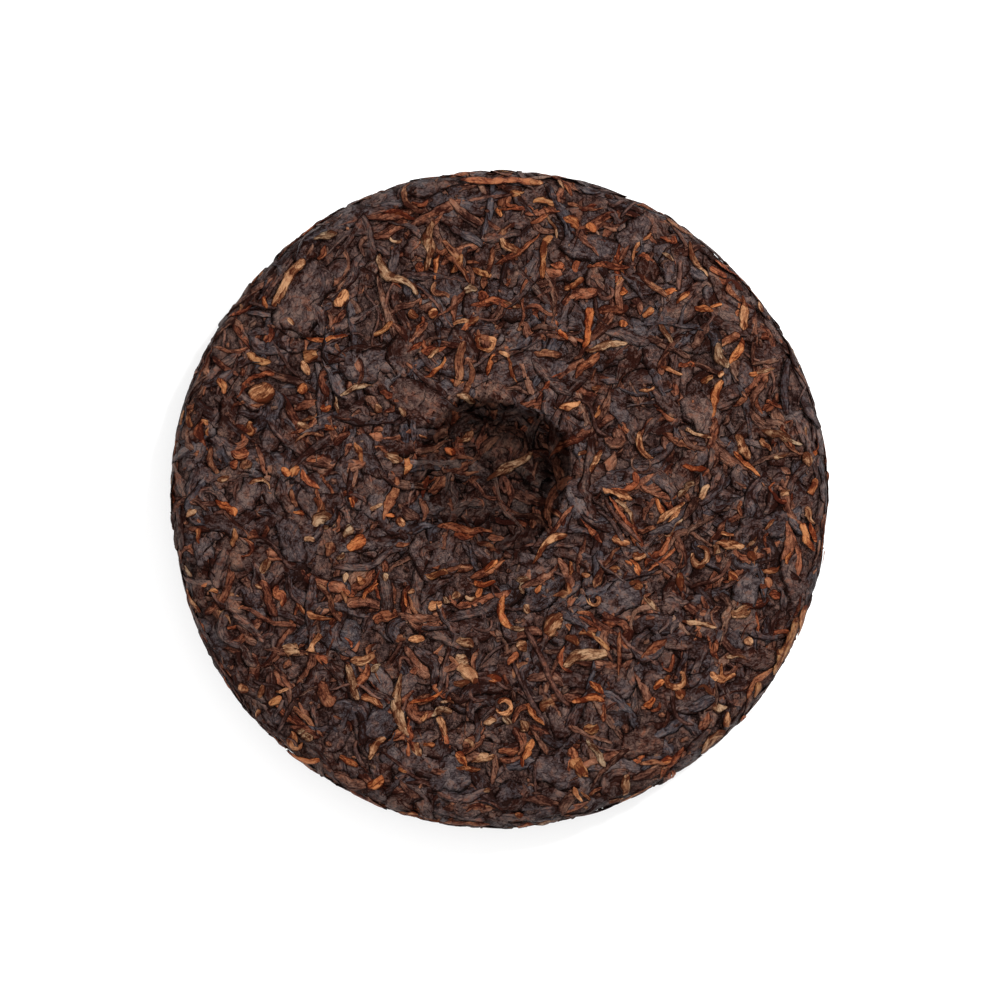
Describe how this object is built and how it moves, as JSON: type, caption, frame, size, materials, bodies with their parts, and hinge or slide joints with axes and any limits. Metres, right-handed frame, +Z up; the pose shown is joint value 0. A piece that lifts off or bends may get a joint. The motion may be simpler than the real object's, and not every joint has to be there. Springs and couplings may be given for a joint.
{
  "type": "pu erh tea cake",
  "caption": "Round disc of pressed fermented tea leaves with a shallow domed face, rounded rim and an off-centre knot dimple in the back.",
  "frame": {"origin": "middle of the cake's footprint, on the surface it lies on", "axes": "+Z up through the cake's thickness, out of the dimpled back; +X to the right and +Y to the top of the back as it is looked at"},
  "size_m": [0.1956, 0.1948, 0.0253],
  "materials": {
    "pressed_leaf": "matte dark brown pressed leaf with a faint sheen",
    "dark_leaf": "charcoal leaf with a dull grey sheen",
    "brown_leaf": "matte brown leaf",
    "russet_leaf": "matte russet leaf",
    "golden_tip": "matte golden tan leaf bud",
    "leaf_stem": "matte purple brown stem",
    "leaf_crumb": "matte brown crumb"
  },
  "bodies": {
    "root": {"tea_cake": "pressed_leaf"}
  },
  "joints": []
}
